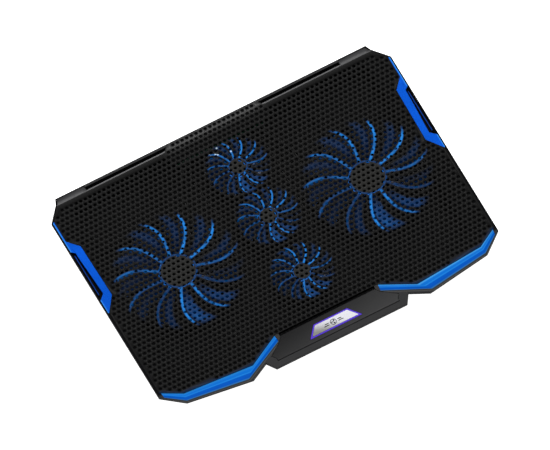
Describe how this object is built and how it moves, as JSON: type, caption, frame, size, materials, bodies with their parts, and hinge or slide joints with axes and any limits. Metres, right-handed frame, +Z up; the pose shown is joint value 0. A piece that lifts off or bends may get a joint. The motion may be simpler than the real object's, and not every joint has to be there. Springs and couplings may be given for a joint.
{
  "type": "laptop cooling pad",
  "caption": "Flat laptop cooling pad: lit fans under a perforated metal plate, blue edge trims, flip-up laptop stop, folding rear feet and rear USB controls.",
  "frame": {"origin": "on the desk, at the middle of the pad's plan outline", "axes": "+X to the user's right, +Y to the rear, +Z up out of the perforated plate"},
  "size_m": [0.38, 0.28, 0.028],
  "materials": {
    "black_plastic": "fine satin texture",
    "grey_plastic": "satin",
    "mesh_metal": "black powder coat, semi-matt",
    "blue_trim": "gloss, candy blue",
    "badge_silver": "silver-white gradient, gloss",
    "light_guide": "translucent, lit violet-blue",
    "lit_blades": "translucent blue, lit by diodes",
    "fan_plastic": "satin",
    "copper_winding": "enamelled copper wire",
    "steel": "bright",
    "circuit_board": "green solder mask",
    "rubber": "matt",
    "wire": "PVC sleeve"
  },
  "bodies": {
    "base": {"bottom_shell": "black_plastic", "rear_panel": "black_plastic", "light_switch": "black_plastic", "dial_potentiometer": "black_plastic", "top_frame": "grey_plastic", "mesh_plate": "mesh_metal", "side_trim_left": "blue_trim", "side_trim_right": "blue_trim", "front_trim_left": "blue_trim", "front_trim_right": "blue_trim", "flap_pin_left": "steel", "flap_pin_right": "steel", "foot_pin_left": "steel", "foot_pin_right": "steel", "usb_port_left": "steel", "usb_port_right": "steel", "fan_frame_left": "fan_plastic", "fan_stator_left": "copper_winding", "fan_wire_left": "wire", "fan_frame_right": "fan_plastic", "fan_stator_right": "copper_winding", "fan_wire_right": "wire", "fan_frame_rear": "fan_plastic", "fan_stator_rear": "copper_winding", "fan_wire_rear": "wire", "fan_frame_middle": "fan_plastic", "fan_stator_middle": "copper_winding", "fan_wire_middle": "wire", "fan_frame_front": "fan_plastic", "fan_stator_front": "copper_winding", "fan_wire_front": "wire", "control_board": "circuit_board", "rubber_pad_front_left": "rubber", "case_screw_front_left": "steel", "rubber_pad_front_right": "rubber", "case_screw_front_right": "steel", "rubber_pad_rear_left": "rubber", "case_screw_rear_left": "steel", "rubber_pad_rear_right": "rubber", "case_screw_rear_right": "steel"},
    "flap": {"front_flap": "grey_plastic", "badge_plate": "badge_silver", "badge_light_border": "light_guide"},
    "rotor_left": {"impeller_left": "lit_blades", "fan_shaft_left": "steel"},
    "rotor_right": {"impeller_right": "lit_blades", "fan_shaft_right": "steel"},
    "rotor_rear": {"impeller_rear": "lit_blades", "fan_shaft_rear": "steel"},
    "rotor_middle": {"impeller_middle": "lit_blades", "fan_shaft_middle": "steel"},
    "rotor_front": {"impeller_front": "lit_blades", "fan_shaft_front": "steel"},
    "foot_left": {"rear_foot_left": "black_plastic", "foot_toe_left": "rubber"},
    "foot_right": {"rear_foot_right": "black_plastic", "foot_toe_right": "rubber"},
    "dial": {"speed_dial": "black_plastic"},
    "button": {"light_button": "black_plastic"}
  },
  "joints": [
    {"name": "flap_hinge", "type": "hinge", "parent": "base", "child": "flap", "pos_m": [0, -0.1316, 0.0262], "axis": [1, 0, 0], "range_deg": [0, 90]},
    {"name": "fan_spin_left", "type": "hinge", "parent": "base", "child": "rotor_left", "pos_m": [-0.106, 0.0107, 0.0038], "axis": [0, 0, 1], "continuous": true},
    {"name": "fan_spin_right", "type": "hinge", "parent": "base", "child": "rotor_right", "pos_m": [0.106, 0.0107, 0.0038], "axis": [0, 0, 1], "continuous": true},
    {"name": "fan_spin_rear", "type": "hinge", "parent": "base", "child": "rotor_rear", "pos_m": [0, 0.0844, 0.0038], "axis": [0, 0, 1], "continuous": true},
    {"name": "fan_spin_middle", "type": "hinge", "parent": "base", "child": "rotor_middle", "pos_m": [0, 0.0211, 0.0038], "axis": [0, 0, 1], "continuous": true},
    {"name": "fan_spin_front", "type": "hinge", "parent": "base", "child": "rotor_front", "pos_m": [0, -0.051, 0.0038], "axis": [0, 0, 1], "continuous": true},
    {"name": "foot_fold_left", "type": "hinge", "parent": "base", "child": "foot_left", "pos_m": [-0.127, 0.115, 0.0047], "axis": [1, 0, 0], "range_deg": [0, 75]},
    {"name": "foot_fold_right", "type": "hinge", "parent": "base", "child": "foot_right", "pos_m": [0.127, 0.115, 0.0047], "axis": [1, 0, 0], "range_deg": [0, 75]},
    {"name": "dial_turn", "type": "hinge", "parent": "base", "child": "dial", "pos_m": [0.012, 0.1281, 0.0178], "axis": [0, 0, 1], "range_deg": [0, 270]},
    {"name": "button_press", "type": "slide", "parent": "base", "child": "button", "axis": [0, -1, 0], "range_m": [0, 0.0008]}
  ]
}
